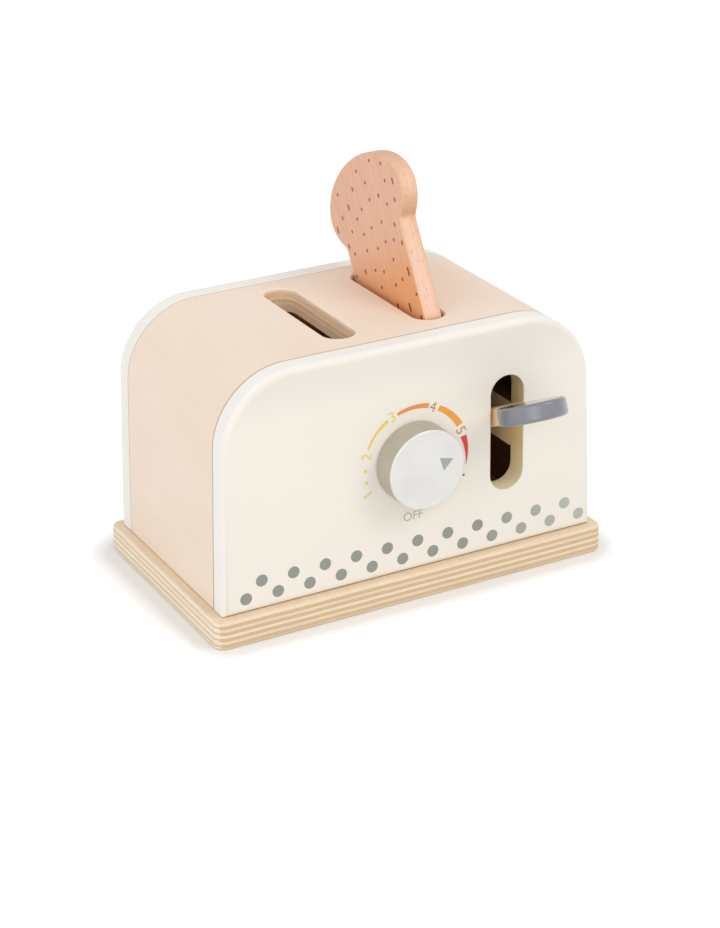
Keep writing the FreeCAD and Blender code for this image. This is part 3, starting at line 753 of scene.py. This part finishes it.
def model_back_panel(paint, inside):
    """The back panel: plain, and bare on its inner face like the front one."""
    panel = model_panel("back_panel_board", 1)
    coat(panel, paint)
    coat_faces(panel, inside, lambda face: face.normal.y < -0.99)
    smooth(panel)
    place_piece(panel, "housing", "cream_paint", "back_panel")


def in_toast_slots(p):
    """True for a point within the outline of either toast slot."""
    half_width = TOAST_SLOT_HALF_WIDTH + NEAR
    across = any(abs(p.x - middle) < half_width for middle in TOAST_SLOT_MIDDLES)
    return across and TOAST_SLOT_FRONT - NEAR < p.y < TOAST_SLOT_BACK + NEAR


def model_hood(veneer, shaded_inner_veneer, plies):
    """The bent plywood hood: one curved wall with two slots through its flat top."""
    hood = add_hood_block("hood", -PANEL_INSIDE, PANEL_INSIDE, HOOD_INSET)
    pick(hood, "FACE", lambda face: abs(face.normal.y) > 0.9 or face.normal.z < -0.9)
    bpy.ops.mesh.delete(type="FACE")
    bpy.ops.object.mode_set(mode="OBJECT")
    coat(hood, veneer)
    # The inside faces take the darker veneer, as painted shade.
    hood.data.materials.append(shaded_inner_veneer)
    wall = hood.modifiers.new("wall", "SOLIDIFY")
    wall.thickness = HOOD_THICK
    wall.offset = -1
    wall.use_even_offset = True
    wall.material_offset = 1
    bpy.ops.object.modifier_apply(modifier=wall.name)
    top = PANEL_TOP - HOOD_INSET
    cut_low = mm(105)
    cut_high = mm(130)
    for middle in TOAST_SLOT_MIDDLES:
        low = Vector((middle - TOAST_SLOT_HALF_WIDTH, TOAST_SLOT_FRONT, cut_low))
        high = Vector((middle + TOAST_SLOT_HALF_WIDTH, TOAST_SLOT_BACK, cut_high))
        cutter = add_long_cutter("toast_slot_cutter", low, high, 2)
        coat(cutter, plies)
        combine(hood, cutter, "DIFFERENCE")

    def on_slot_edge(p):
        return abs(p.z - top) < NEAR and in_toast_slots(p)

    round_edges(hood, TOAST_SLOT_ROUND, 4, on_slot_edge)
    smooth(hood)
    place_piece(hood, "housing", "hood_ply", "shell")


def model_base(plies):
    """The plywood base, its corners and edges rounded, with sunk screw holes below."""
    low = Vector((-BASE_HALF_WIDTH, -BASE_HALF_DEPTH, 0))
    high = Vector((BASE_HALF_WIDTH, BASE_HALF_DEPTH, BASE_TOP))
    base = add_block("base_slab", low, high)
    pick(base, "EDGE", lambda edge: abs(edge.verts[0].co.z - edge.verts[1].co.z) > NEAR)
    bevel_picked(BASE_CORNER, 10)
    for level in (0, BASE_TOP):
        round_edges(base, BASE_ROUND, 5, lambda p, level=level: abs(p.z - level) < NEAR)
    coat(base, plies)
    for across, along in SCREW_PLACES:
        for radius, depth in SCREW_HOLES:
            middle = mm(across, along, 0)
            hole = add_disc("hole_cutter", middle, mm(radius), mm(2 * depth), sides=32)
            coat(hole, plies)
            combine(base, hole, "DIFFERENCE")
    smooth(base)
    place_piece(base, "housing", "birch_ply", "base_board")


def model_dots(print_ink):
    """Two staggered rows of printed dots along the foot of the front panel."""
    dots = []
    radius = mm(2.85)
    step = 15.63
    first = -83.93
    for height, start, count in ((20.61, first, 12), (27.77, first + step / 2, 11)):
        for number in range(count):
            middle = mm(start + number * step, 0, height)
            middle.y = -PANEL_OUTSIDE
            dots.append(add_disc("dot", middle, radius, 2 * PRINT_THICK, (QUARTER, 0, 0), 40))
    printed = join(dots, "printed_dots")
    coat(printed, print_ink)
    place_piece(printed, "housing", "cream_paint")


# ---- dial print -----------------------------------------------------------------------------

DIAL_MIDDLE = Vector((0, -PANEL_OUTSIDE, KNOB_MIDDLE.z))
TEXT_SIZE_PER_HEIGHT = 1.4
INK_TONES = {
    "off": ((188, 176, 160), (206, 196, 180)),
    "yellow": ((232, 208, 100), (236, 218, 140)),
    "amber": ((190, 148, 72), (206, 170, 104)),
    "light_orange": ((226, 148, 74), (230, 162, 94)),
    "orange": ((238, 160, 58), (240, 172, 84)),
    "red": ((216, 64, 54), (222, 88, 74)),
    "brown": ((120, 70, 50), (140, 90, 70)),
}


def make_inks():
    """Each ink in its full tone, and in a paler one where it is thin."""
    return {
        name: ink(f"{name}_print", colour(*full), colour(*thin))
        for name, (full, thin) in INK_TONES.items()
    }


def on_dial(radius, degrees):
    """A place on the panel, in millimetres and degrees from the knob's middle."""
    turn = math.radians(degrees)
    return DIAL_MIDDLE + mm(radius * math.cos(turn), 0, radius * math.sin(turn))


def model_arc(name, start, end, width_start, width_end, radius_start, radius_end, finish):
    """A printed arc round the knob that widens along its way."""
    only(None)
    bpy.ops.mesh.primitive_plane_add(size=mm(1), location=(0, 0, 0))
    arc = finish_new(name)
    pick(arc, "EDGE", lambda edge: ends_pass(edge, lambda p: p.y > 0))
    steps = 24
    for _ in range(steps):
        bpy.ops.mesh.extrude_region_move(TRANSFORM_OT_translate={"value": (0, mm(1), 0)})
    bpy.ops.object.mode_set(mode="OBJECT")
    for vertex in arc.data.vertices:
        share = (vertex.co.y / mm(1) + 0.5) / (steps + 1)
        width = width_start + (width_end - width_start) * share
        radius = radius_start + (radius_end - radius_start) * share
        sideways = width / 2 if vertex.co.x > 0 else -width / 2
        vertex.co = on_dial(radius + sideways, start + (end - start) * share)
    thicken(arc)
    coat(arc, finish)
    return arc


def thicken(piece):
    """Give a flat print its thin layer of ink."""
    only(piece)
    layer = piece.modifiers.new("ink_layer", "SOLIDIFY")
    layer.thickness = 2 * PRINT_THICK
    layer.offset = 0
    bpy.ops.object.modifier_apply(modifier=layer.name)
    turn_outwards(piece)


def model_mark(name, text, tall, radius, degrees, turn_degrees, finish):
    """A printed number or word: its middle is on the dial, and it turns in the panel's plane."""
    only(None)
    bpy.ops.object.text_add(location=(0, 0, 0))
    mark = bpy.context.active_object
    mark.data.body = text
    mark.data.size = mm(tall) * TEXT_SIZE_PER_HEIGHT
    mark.data.align_x = "CENTER"
    mark.data.align_y = "CENTER"
    mark.data.resolution_u = 6
    bpy.ops.object.convert(target="MESH")
    bpy.ops.object.origin_set(type="ORIGIN_GEOMETRY", center="BOUNDS")
    mark = bpy.context.active_object
    turn = Matrix.Rotation(-math.radians(turn_degrees), 4, "Y") @ Matrix.Rotation(QUARTER, 4, "X")
    mark.matrix_world = Matrix.Translation(on_dial(radius, degrees)) @ turn
    mark = finish_new(name)
    thicken(mark)
    coat(mark, finish)
    return mark


def model_dial():
    """The heat scale printed round the knob: numbers, dots and arcs that widen and redden."""
    inks = make_inks()
    marks = [
        model_mark("mark_1", "1", 5.0, 25.8, -152.8, 117.0, inks["yellow"]),
        model_mark("mark_2", "2", 5.0, 24.4, 164.3, 74.0, inks["yellow"]),
        model_mark("mark_3", "3", 5.0, 25.2, 114.6, 25.0, inks["yellow"]),
        model_mark("mark_4", "4", 5.0, 25.5, 66.7, -23.0, inks["amber"]),
        model_mark("mark_5", "5", 5.0, 26.0, 20.2, -70.0, inks["amber"]),
        model_mark("mark_off", "OFF", 4.2, 27.2, -90.5, 0.0, inks["off"]),
        model_arc("arc_yellow", 156.3, 120.5, 0.9, 1.8, 24.7, 24.9, inks["yellow"]),
        model_arc("arc_light_orange", 108.5, 71.9, 1.5, 2.4, 24.7, 25.6, inks["light_orange"]),
        model_arc("arc_orange", 59.7, 26.3, 2.6, 3.3, 25.7, 26.5, inks["orange"]),
        model_arc("arc_red", 13.0, -16.7, 3.2, 0.25, 26.3, 28.2, inks["red"]),
    ]
    dots = (
        (24.4, -166.3, 0.75, "yellow"),
        (24.1, -179.7, 0.75, "yellow"),
        (29.1, -27.2, 0.55, "brown"),
    )
    for radius, degrees, size, tone in dots:
        middle = on_dial(radius, degrees)
        dot = add_disc("dot", middle, mm(size), 2 * PRINT_THICK, (QUARTER, 0, 0), 24)
        coat(dot, inks[tone])
        marks.append(dot)
    dial = join(marks, "dial_print")
    place_piece(dial, "housing", "cream_paint")


# ---- knob -----------------------------------------------------------------------------------


def model_knob(silver, shaded_side_silver, print_ink):
    """The silver knob, its side darker with painted shade, and the triangle printed on its face."""
    knob = add_disc("knob_disc", KNOB_MIDDLE, KNOB_RADIUS, KNOB_THICK, (QUARTER, 0, 0))
    back = KNOB_FACE + KNOB_THICK
    round_edges(knob, KNOB_FACE_ROUND, 4, lambda p: abs(p.y - KNOB_FACE) < NEAR)
    round_edges(knob, KNOB_BACK_ROUND, 2, lambda p: abs(p.y - back) < NEAR)
    coat(knob, silver)
    # Painted shade: the knob's side gets a darker silver.
    coat_faces(knob, shaded_side_silver, lambda face: abs(face.normal.y) < 0.3)
    smooth(knob)
    place_piece(knob, "knob", "silver_paint", "control_knob")

    only(None)
    place = KNOB_MIDDLE + Vector((POINTER_REACH, 0, POINTER_RISE))
    place.y = KNOB_FACE
    bpy.ops.mesh.primitive_circle_add(
        vertices=3, radius=POINTER_RADIUS, fill_type="NGON", location=place,
        rotation=(QUARTER, POINTER_TURN, 0),
    )
    pointer = finish_new("knob_pointer")
    thicken(pointer)
    coat(pointer, print_ink)
    place_piece(pointer, "knob", "silver_paint")


# ---- lift -----------------------------------------------------------------------------------


def model_lever(paint, wood):
    """The beech arm through the slot, with its cheek inside, and the grey paddle on its end."""
    turn = (-LEVER_TILT, 0, 0)
    half = LEVER_THICK / 2
    paddle = add_disc("paddle_disc", PADDLE_MIDDLE, PADDLE_RADIUS, LEVER_THICK, turn)
    upright = Vector((0, math.sin(LEVER_TILT), math.cos(LEVER_TILT)))

    def on_rim(p):
        return abs(abs((p - PADDLE_MIDDLE).dot(upright)) - half) < NEAR

    round_edges(paddle, PADDLE_ROUND, 6, on_rim)
    coat(paddle, paint)
    smooth(paddle)
    place_piece(paddle, "lift", "grey_paint", "lever_paddle")

    arm = add_block("arm_bar", mm(-7, 13, -4.2), mm(7, 63.5, 4.2), turn, PADDLE_MIDDLE)
    along = Vector((0, math.cos(LEVER_TILT), -math.sin(LEVER_TILT)))
    pick(arm, "EDGE", lambda edge: abs((edge.verts[0].co - edge.verts[1].co).dot(along)) > mm(20))
    bevel_picked(mm(0.8), 4)
    cheek = add_block("arm_cheek", mm(6, 38.5, -3.4), mm(9, 63.5, 3.4), turn, PADDLE_MIDDLE)
    combine(arm, cheek, "UNION")
    coat(arm, wood)
    smooth(arm)
    place_piece(arm, "lift", "beech", "lever_arm")


def model_spring(metal):
    """The compression spring: a round wire wound five times."""
    low = SPRING_PLACE.z + SPRING_WIRE_RADIUS
    rise = (SPRING_TOP - SPRING_WIRE_RADIUS - low) / SPRING_TURNS
    only(None)
    bpy.ops.mesh.primitive_circle_add(
        vertices=12, radius=SPRING_WIRE_RADIUS, location=(SPRING_RADIUS, 0, 0),
        rotation=(QUARTER, 0, 0),
    )
    spring = finish_new("spring_coil")
    coil = spring.modifiers.new("coil", "SCREW")
    coil.axis = "Z"
    coil.steps = 40
    coil.render_steps = 40
    coil.iterations = SPRING_TURNS
    coil.screw_offset = rise
    coil.use_normal_calculate = True
    bpy.ops.object.modifier_apply(modifier=coil.name)
    pick(spring, "EDGE", lambda edge: edge.is_boundary)
    bpy.ops.mesh.edge_face_add()
    bpy.ops.object.mode_set(mode="OBJECT")
    spring.location = (SPRING_PLACE.x, SPRING_PLACE.y, low)
    settle(spring)
    turn_outwards(spring)
    coat(spring, metal)
    smooth(spring, 50)
    place_piece(spring, "housing", "steel", "lift_spring")
    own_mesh(spring)


# ---- slice of toast -------------------------------------------------------------------------


def arc_points(middle, radius, start, end):
    """Points along an arc, from one angle in degrees to another."""
    steps = 10
    turns = [math.radians(start + (end - start) * step / steps) for step in range(steps + 1)]
    return [(middle[0] + radius * math.cos(t), middle[1] + radius * math.sin(t)) for t in turns]


def on_head(turn, proud=0.0):
    """A point of the slice's oval head, or one that stands proud of it by a distance."""
    away = Vector((math.cos(turn) / HEAD_REACH, math.sin(turn) / HEAD_RISE)).normalized()
    edge = Vector((HEAD_REACH * math.cos(turn), SLICE_HEAD + HEAD_RISE * math.sin(turn)))
    return edge + away * proud


def find_notch(radius):
    """Where a circle that touches the straight side also touches the oval head."""
    low = -QUARTER
    high = 0.0
    halvings = 40
    for _ in range(halvings):
        turn = (low + high) / 2
        if on_head(turn, radius).x > SLICE_HALF_WIDTH + radius:
            high = turn
        else:
            low = turn
    return turn


def slice_outline():
    """The outline, drawn up the right side from the foot to the crown and mirrored to the left."""
    corner = SLICE_FOOT_CORNER
    points = arc_points((SLICE_HALF_WIDTH - corner, SLICE_FOOT + corner), corner, -90, 0)
    touch = find_notch(SLICE_NOTCH)
    middle = on_head(touch, SLICE_NOTCH)
    back = on_head(touch) - middle
    points += arc_points(middle, SLICE_NOTCH, 180, math.degrees(math.atan2(back.y, back.x)))
    steps = 60
    points += [tuple(on_head(touch + (QUARTER - touch) * step / steps)) for step in range(1, steps)]
    left = [(-across, up) for across, up in reversed(points)]
    return points + [(0.0, SLICE_HEAD + HEAD_RISE)] + left


def lean_back(piece):
    """Put a piece drawn upright where the leaning slice stands."""
    piece.rotation_euler = (-SLICE_LEAN, 0, 0)
    piece.location = SLICE_PLACE
    settle(piece)


def model_slice(face_wood, side_wood):
    """A slice with a straight body and a wide domed head, leaned back in its slot."""
    outline = slice_outline()
    only(None)
    bpy.ops.mesh.primitive_circle_add(vertices=len(outline), radius=mm(30), fill_type="NGON")
    toast = finish_new("toast")
    for vertex, (across, up) in zip(toast.data.vertices, outline):
        vertex.co = (-SLICE_HALF_THICK, across, up)
    pick(toast, "FACE", lambda face: True)
    bpy.ops.mesh.extrude_region_move(TRANSFORM_OT_translate={"value": (2 * SLICE_HALF_THICK, 0, 0)})
    bpy.ops.object.mode_set(mode="OBJECT")
    turn_outwards(toast)
    round_edges(toast, SLICE_ROUND, 5, lambda p: abs(abs(p.x) - SLICE_HALF_THICK) < NEAR)
    coat(toast, side_wood)
    coat_faces(toast, face_wood, lambda face: abs(face.normal.x) > 0.9)
    smooth(toast)
    lean_back(toast)
    place_piece(toast, "slice", "toast_beech", "toast_slice")


# Printed flecks in millimetres across and up the slice: dots, and dashes with their length.
FLECK_DOTS = (
    (-15, 60), (-25, 56), (0, 59), (-6, 52), (-25, 48), (-6, 44), (4, 42), (11, 39), (-12, 32),
    (-1, 32), (19, 35), (8, 31), (-2, 22), (22, 25), (-14, 14), (6, 13.5), (-2, 11), (4, 5),
    (-10, 3), (-27, -5), (26, 15),
)
FLECK_DASHES = (
    (-32, 46, 3.2), (8, 52.5, 2.2), (24, 54, 1.6), (-15.5, 43.5, 2.2), (-21.5, 38, 1.6),
    (-29.5, 38, 2.2), (16.5, 46, 3.0), (25, 43, 2.0), (-23.5, 28, 2.2), (33, 39, 3.6),
    (-11, 23, 1.4), (-19, 22, 1.6), (-26, 19, 2.2), (26, 29.5, 2.4), (9, 23.5, 1.8),
    (16, 15, 2.6), (-25, 6, 4.2), (-17.5, 4, 1.8), (-7, -6, 2.4), (-18, -9, 4.0),
    (-26, -15.5, 2.4),
)


def model_flecks(print_ink):
    """Toasted flecks printed on both faces of the slice: dots and dashes along the grain."""
    flecks = []
    radius = mm(0.72)
    dot_length = 1.7
    for across, up, length in [(*dot, dot_length) for dot in FLECK_DOTS] + list(FLECK_DASHES):
        pull = max(mm(length / 2) - radius, mm(0.1))
        for side in (-1, 1):
            place = Vector((side * SLICE_HALF_THICK, mm(across), mm(up)))
            fleck = add_disc("fleck", place, radius, 2 * PRINT_THICK, (0, QUARTER, 0), 16)
            for vertex in fleck.data.vertices:
                vertex.co.z += pull if vertex.co.z > place.z - NEAR / 10 else -pull
            flecks.append(fleck)
    printed = join(flecks, "printed_flecks")
    coat(printed, print_ink)
    lean_back(printed)
    place_piece(printed, "slice", "toast_beech")


# ---- stage ----------------------------------------------------------------------------------


def add_camera():
    """Seen from the front left and above, with a long lens."""
    yaw = math.radians(28.087)
    pitch = math.radians(24.530)
    roll = math.radians(-0.909)
    level_ahead = math.cos(pitch)
    ahead = Vector((math.sin(yaw) * level_ahead, math.cos(yaw) * level_ahead, -math.sin(pitch)))
    level = Vector((math.cos(yaw), -math.sin(yaw), 0))
    upward = level.cross(ahead)
    right = level * math.cos(roll) + upward * math.sin(roll)
    up = upward * math.cos(roll) - level * math.sin(roll)
    place = mm(-468.29, -883.28, 500.13)
    lens = bpy.data.cameras.new("camera")
    lens.sensor_width = 36
    lens.lens = 91.66
    lens.clip_end = 20
    camera = bpy.data.objects.new("camera", lens)
    turn = Matrix((right, up, -ahead)).transposed().to_4x4()
    camera.matrix_world = Matrix.Translation(place) @ turn
    bpy.context.scene.collection.objects.link(camera)
    bpy.context.scene.camera = camera


def seen_directly(nodes):
    """One for rays from the camera and for what shows in gloss or through glass."""
    path = nodes.new("ShaderNodeLightPath")
    glossy = calc("MAXIMUM", path.outputs["Is Camera Ray"], path.outputs["Is Glossy Ray"])
    return calc("MAXIMUM", glossy, path.outputs["Is Transmission Ray"])


def add_floor():
    """A pale floor that keeps the toaster's soft shadow and turns white away from it."""
    only(None)
    bpy.ops.mesh.primitive_plane_add(size=12, location=(0, 0, mm(-0.02)))
    floor = finish_new("floor")
    finish = bpy.data.materials.new("pale_floor")
    finish.use_nodes = True
    nodes = finish.node_tree.nodes
    shader = nodes["Principled BSDF"]
    shader.inputs["Roughness"].default_value = 0.9
    shader.inputs["Specular IOR Level"].default_value = 0.0
    direct = seen_directly(nodes)
    wire(mix(direct, (0.80, 0.80, 0.80, 1), (0.93, 0.93, 0.93, 1)), shader.inputs["Base Color"])
    shader.inputs["Emission Color"].default_value = (1, 1, 1, 1)
    place = nodes.new("ShaderNodeTexCoord").outputs["Object"]
    inset = mm(12)
    glow_start = mm(17)
    glow_full = mm(28)
    squares = []
    for letter, half in (("X", BASE_HALF_WIDTH), ("Y", BASE_HALF_DEPTH)):
        from_middle = calc("ABSOLUTE", split(place)[letter])
        gap = calc("MAXIMUM", calc("SUBTRACT", from_middle, half - inset), 0.0)
        squares.append(calc("MULTIPLY", gap, gap))
    away = calc("SQRT", calc("ADD", squares[0], squares[1]))
    glow = stretch(away, glow_start, glow_full, 0, 0.32)
    wire(calc("MULTIPLY", direct, glow), shader.inputs["Emission Strength"])
    coat(floor, finish)


def add_lamp(name, place, size, power):
    """A square soft lamp that points at the middle of the toaster."""
    data = bpy.data.lights.new(name, "AREA")
    data.shape = "SQUARE"
    data.size = size
    data.energy = power
    lamp = bpy.data.objects.new(name, data)
    middle = mm(0, 0, 70)
    aim = middle - Vector(place)
    turn = aim.to_track_quat("-Z", "Y").to_matrix().to_4x4()
    lamp.matrix_world = Matrix.Translation(place) @ turn
    bpy.context.scene.collection.objects.link(lamp)


def add_light():
    """Plain soft studio light: an even pale room and three large lamps."""
    world = bpy.data.worlds.new("studio")
    bpy.context.scene.world = world
    world.use_nodes = True
    nodes = world.node_tree.nodes
    sky = nodes["Background"]
    sky.inputs["Color"].default_value = (1, 1, 1, 1)
    direct = seen_directly(nodes)
    wire(stretch(direct, 0, 1, 0.68, 1.0), sky.inputs["Strength"])
    add_lamp("key_lamp", (0.8, -1.2, 1.3), 0.9, 8.5)
    add_lamp("fill_lamp", (-0.6, -1.3, 0.6), 0.9, 4)
    add_lamp("left_lamp", (-1.4, -0.1, 0.7), 1.2, 4)


# ---- the whole toaster ----------------------------------------------------------------------


def set_look(node, finish):
    """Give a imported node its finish."""
    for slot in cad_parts[node].material_slots:
        slot.material = finish


def finish_packed_nodes(arm_beech, metal):
    """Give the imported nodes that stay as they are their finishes."""
    shelf_low = mm(84.6)
    shelf_thick = mm(8)
    # Painted shade: the hidden shelf is dark brown so that it looks shaded where it shows through
    # the lever's slot.
    light = colour(140, 94, 54)
    dark = colour(128, 84, 46)
    set_look("lift_platform", plywood("shelf_plywood_shaded", shelf_low, shelf_thick, 5, light, dark))
    # Painted shade: the board's edges are nearly brown, partly end grain and mostly shade.
    board_birch = edged_birch("board_birch", colour(250, 224, 178), colour(110, 78, 46))
    set_look("lift_board", board_birch)
    set_look("knob_washer", felt())
    upright_beech = beech("upright_beech", "Z", colour(236, 208, 170), colour(222, 188, 148))
    for node in ("guide_rod_left", "guide_rod_right", "stop_collar_left", "stop_collar_right"):
        set_look(node, upright_beech)
    for node in ("knob_axle", "knob_collar", "platform_dowels", "lever_dowels"):
        set_look(node, arm_beech)
    for node in ("base_screws", "spring_seat"):
        set_look(node, metal)


def build_housing():
    """The base, the two panels, the hood and the print on the front."""
    pale = colour(243, 222, 194)
    deep = colour(215, 185, 147)
    # Painted light: how much lighter the base's left and right sides are made.
    lift = (1.11, 1.19, 1.29, 1)
    base_ply = plywood(
        "base_plywood", 0.0, BASE_TOP, 9, pale, deep, share=0.5, side_share=0.72, lift=lift
    )
    model_base(base_ply)
    cream = board_paint(colour(241, 234, 223), colour(247, 243, 237))
    bare_board = beech("bare_board", "Z", colour(250, 192, 122), colour(238, 178, 106))
    # Painted shade: the hood's inside is a dark veneer, for the shade inside the toaster.
    shaded_inner_veneer = beech("shaded_inner_veneer", "Y", colour(176, 130, 82), colour(156, 112, 68))
    model_front_panel(cream, slot_wall(), bare_board)
    model_back_panel(cream, bare_board)
    model_hood(hood_veneer(), shaded_inner_veneer, slot_plies())
    model_dots(dot_print())
    model_dial()


def build_moving_pieces(arm_beech, metal):
    """The knob, the lever and the spring."""
    silver = silver_paint(
        "silver_paint", colour(227, 225, 221), colour(219, 217, 213), colour(188, 187, 184)
    )
    # Painted shade: the darker silver for the knob's side.
    shaded_side_silver = silver_paint(
        "silver_side_shaded", colour(193, 187, 173), colour(183, 177, 163), colour(153, 149, 139)
    )
    pointer_ink = ink("pointer_print", colour(160, 162, 164), colour(178, 180, 181))
    model_knob(silver, shaded_side_silver, pointer_ink)
    slate = glossy_paint("grey_paint", colour(121, 122, 131), colour(117, 118, 127), 0.3)
    model_lever(slate, arm_beech)
    model_spring(metal)


def build_slice():
    """The slice of toast with its printed flecks."""
    face_wood = toast_wood(
        "toast_face", colour(236, 187, 158), colour(236, 167, 111), colour(212, 154, 120), 0.38
    )
    side_wood = toast_wood(
        "toast_side", colour(236, 192, 160), colour(238, 196, 170), colour(198, 146, 112), 0.2
    )
    model_slice(face_wood, side_wood)
    model_flecks(fleck_ink())


def build():
    """Every piece of the toaster, in its finish."""
    arm_beech = beech("arm_beech", "Y", colour(240, 214, 176), colour(230, 198, 156))
    metal = steel()
    build_housing()
    build_moving_pieces(arm_beech, metal)
    finish_packed_nodes(arm_beech, metal)
    build_slice()


bpy.context.scene.view_settings.view_transform = "Standard"
build()
add_camera()
add_floor()
add_light()
